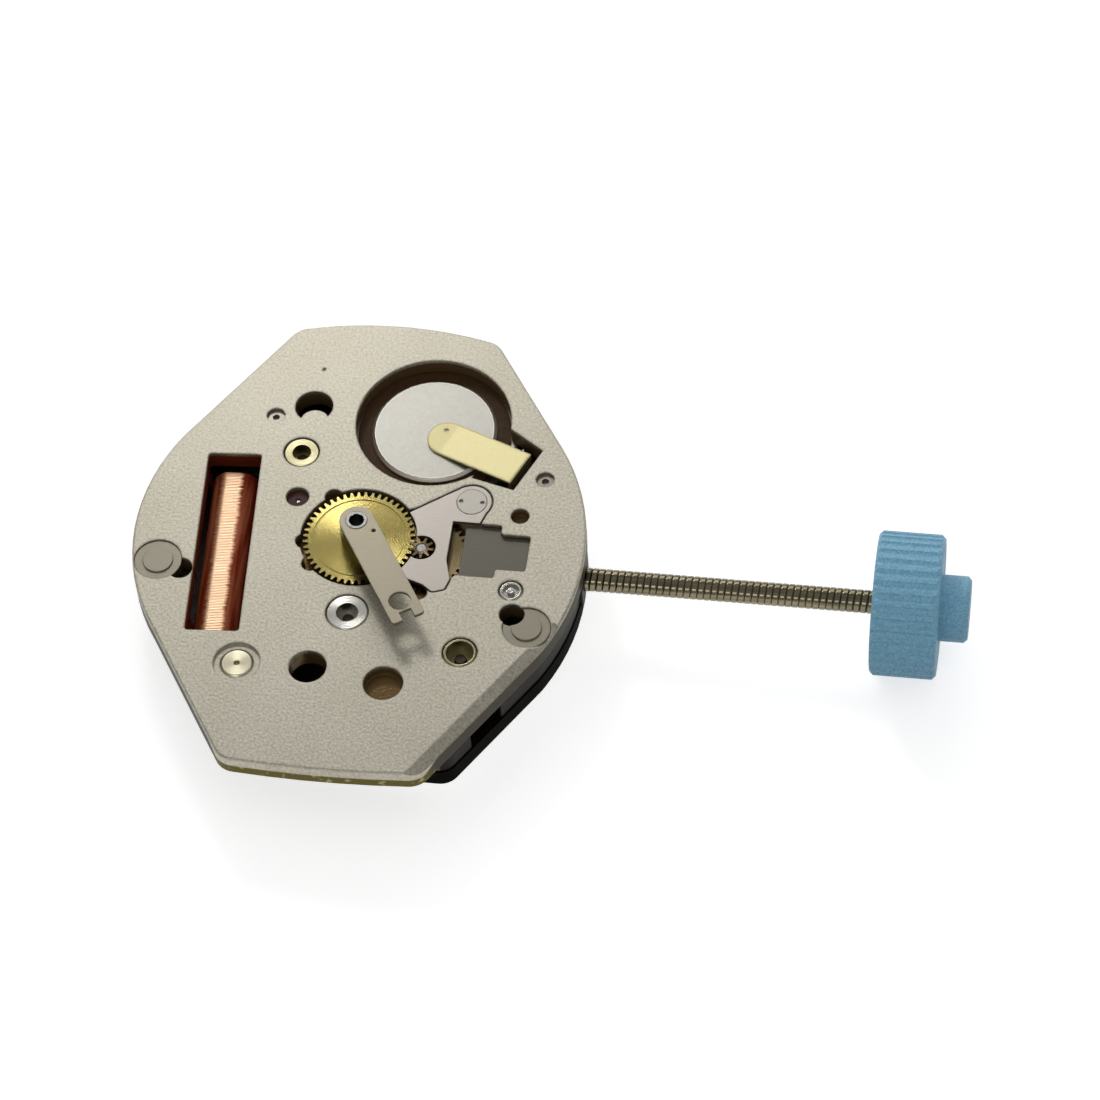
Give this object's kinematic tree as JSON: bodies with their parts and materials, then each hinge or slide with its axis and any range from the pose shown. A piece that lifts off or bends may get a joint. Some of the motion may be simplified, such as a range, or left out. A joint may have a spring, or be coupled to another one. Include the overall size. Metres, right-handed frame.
{
  "type": "quartz watch movement",
  "caption": "Quartz watch movement seen from the dial side: plate, coil, battery, wheels under the dial, and a long threaded stem with a fluted knob.",
  "frame": {"origin": "the hands' axis, on the face of the plate that the dial rests on", "axes": "+X along the stem towards the knob, +Y towards twelve o'clock, +Z out of the dial side"},
  "size_m": [0.0277, 0.0181, 0.0048],
  "materials": {
    "plate": "sandblasted nickel plate",
    "dark_plastic": "matt",
    "bright_steel": "turned and ground",
    "dark_steel": "sandblasted",
    "brass": "polished",
    "jewel": "polished",
    "cell_steel": "satin",
    "seal": "matt",
    "gold": "gold plated",
    "copper": "fine enamelled wire",
    "magnet": "ground",
    "circuit_green": "matt",
    "chip_black": "domed",
    "crystal_can": "polished",
    "blue_plastic": "fine grained"
  },
  "bodies": {
    "movement": {"back_cover": "bright_steel", "battery": "cell_steel", "battery_contact": "gold", "battery_gasket": "seal", "battery_strap": "bright_steel", "bridge_jewels": "jewel", "centre_bush": "brass", "circuit_board": "circuit_green", "circuit_chip": "chip_black", "coil_core": "dark_steel", "coil_terminals": "circuit_green", "coil_winding": "copper", "cover_screws": "bright_steel", "cover_stud": "plate", "dial_lock_left": "plate", "dial_lock_right": "plate", "guide_pins": "bright_steel", "lever_post": "bright_steel", "main_plate": "plate", "minute_train_cover": "plate", "minute_wheel_stud": "bright_steel", "module_frame": "dark_plastic", "pillar_centre": "bright_steel", "pillar_low": "brass", "pillar_right": "brass", "pillar_top": "brass", "quartz_crystal": "crystal_can", "rotor_jewel": "jewel", "setting_keeper": "dark_steel", "stator": "dark_steel", "train_bridge": "brass", "yoke": "bright_steel"},
    "centre": {"centre_wheel": "brass", "centre_arbor": "bright_steel", "cannon_pinion": "brass", "arm": "plate"},
    "hour": {"hour_wheel": "brass"},
    "minute": {"minute_wheel": "brass"},
    "setting": {"setting_wheel": "brass", "setting_wheel_lower": "brass"},
    "third": {"third_wheel": "brass", "third_pinion": "bright_steel"},
    "intermediate": {"intermediate_wheel": "brass", "intermediate_pinion": "bright_steel"},
    "rotor": {"rotor_pinion": "bright_steel", "rotor_magnet": "magnet"},
    "clutch": {"clutch": "bright_steel"},
    "stem": {"stem": "bright_steel", "crown_knob": "blue_plastic"},
    "lever": {"setting_lever": "bright_steel"}
  },
  "joints": [
    {"name": "centre_turn", "type": "hinge", "parent": "movement", "child": "centre", "pos_m": [0, 0, 0], "axis": [0, 0, 1], "continuous": true},
    {"name": "hour_turn", "type": "hinge", "parent": "movement", "child": "hour", "pos_m": [0, 0, 0], "axis": [0, 0, 1], "continuous": true},
    {"name": "minute_turn", "type": "hinge", "parent": "movement", "child": "minute", "pos_m": [0.00212, -0.00021, 0], "axis": [0, 0, 1], "continuous": true},
    {"name": "setting_turn", "type": "hinge", "parent": "movement", "child": "setting", "pos_m": [0.00417, -0.00021, 0], "axis": [0, 0, 1], "continuous": true},
    {"name": "third_turn", "type": "hinge", "parent": "movement", "child": "third", "pos_m": [-0.00188, -0.00146, 0], "axis": [0, 0, 1], "continuous": true},
    {"name": "intermediate_turn", "type": "hinge", "parent": "movement", "child": "intermediate", "pos_m": [-0.00238, 0.00027, 0], "axis": [0, 0, 1], "continuous": true},
    {"name": "rotor_turn", "type": "hinge", "parent": "movement", "child": "rotor", "pos_m": [-0.00231, 0.00144, 0], "axis": [0, 0, 1], "continuous": true},
    {"name": "crown_turn", "type": "hinge", "parent": "movement", "child": "clutch", "pos_m": [0.0053, 0, -0.0014], "axis": [1, 0, 0], "continuous": true},
    {"name": "crown_pull", "type": "slide", "parent": "clutch", "child": "stem", "axis": [1, 0, 0], "range_m": [0, 0.0005]},
    {"name": "lever_turn", "type": "hinge", "parent": "movement", "child": "lever", "pos_m": [0.00531, -0.00165, -0.00082], "axis": [0, 0, -1], "range_deg": [0, 17.05]}
  ],
  "couplings": [
    {"joint": "hour_turn", "follows": "centre_turn", "ratio": 0.083333},
    {"joint": "minute_turn", "follows": "centre_turn", "ratio": -0.44444},
    {"joint": "setting_turn", "follows": "centre_turn", "ratio": 1.1429},
    {"joint": "third_turn", "follows": "centre_turn", "ratio": -6},
    {"joint": "intermediate_turn", "follows": "centre_turn", "ratio": 30},
    {"joint": "rotor_turn", "follows": "centre_turn", "ratio": -90},
    {"joint": "lever_turn", "follows": "crown_pull", "rad_per_m": 593.4}
  ]
}
